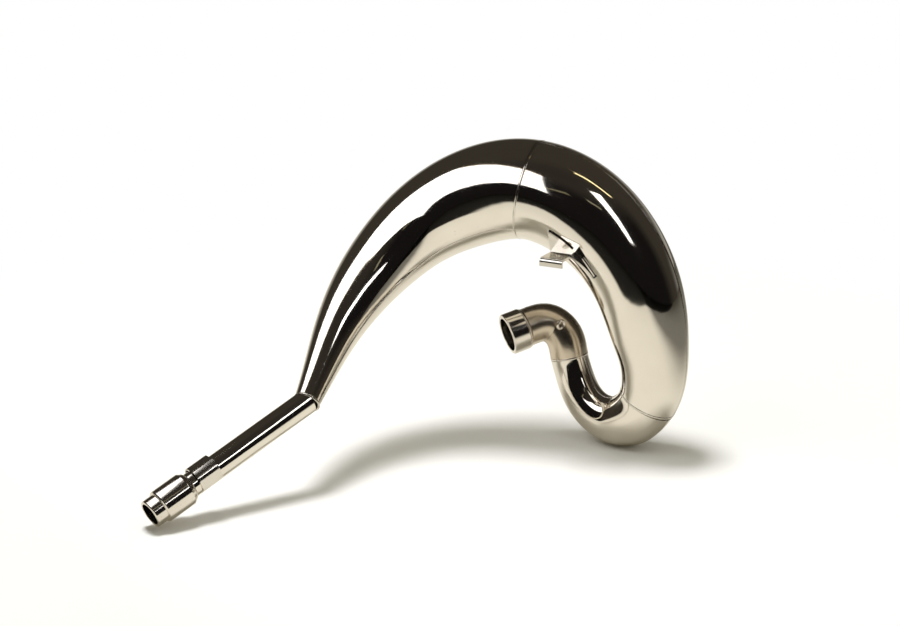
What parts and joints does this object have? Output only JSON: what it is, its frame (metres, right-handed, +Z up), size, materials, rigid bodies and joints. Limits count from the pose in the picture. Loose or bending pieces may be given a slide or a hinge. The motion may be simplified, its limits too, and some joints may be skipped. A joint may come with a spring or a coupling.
{
  "type": "motorbike exhaust front pipe",
  "caption": "Two-stroke expansion chamber: a curved, nickel-plated steel pipe from the cylinder's exhaust port, swelling to a belly and tapering to a thin outlet tube.",
  "frame": {"origin": "centre of the inlet mouth", "axes": "+Z up, +X towards the front of the motorbike, along the longest extent; -Y is the outer side"},
  "size_m": [0.6305, 0.2495, 0.3489],
  "materials": {
    "plate": "bright nickel plate",
    "weld": "plated weld bead",
    "fitting": "bright nickel plate on turned and folded steel"
  },
  "bodies": {
    "root": {"elbow_right_shell": "plate", "elbow_left_shell": "plate", "header_right_shell": "plate", "header_left_shell": "plate", "belly_right_shell": "plate", "belly_left_shell": "plate", "cone_upper_shell": "plate", "cone_lower_shell": "plate", "elbow_spine_weld": "weld", "elbow_throat_weld": "weld", "header_spine_weld": "weld", "header_throat_weld": "weld", "belly_spine_weld": "weld", "belly_throat_weld": "weld", "cone_spine_weld": "weld", "cone_throat_weld": "weld", "header_joint_weld": "weld", "belly_joint_weld": "weld", "cone_joint_weld": "weld", "collar_weld": "weld", "stinger_weld": "weld", "coupler_weld": "weld", "saddle_right_weld": "weld", "saddle_left_weld": "weld", "stay_weld": "weld", "gusset_weld": "weld", "inlet_collar": "fitting", "stinger_tube": "fitting", "stinger_coupler": "fitting", "stinger_saddle": "fitting", "stay_plate": "fitting", "stay_gusset": "fitting", "right_spring_hook": "fitting", "left_spring_hook": "fitting"}
  },
  "joints": []
}
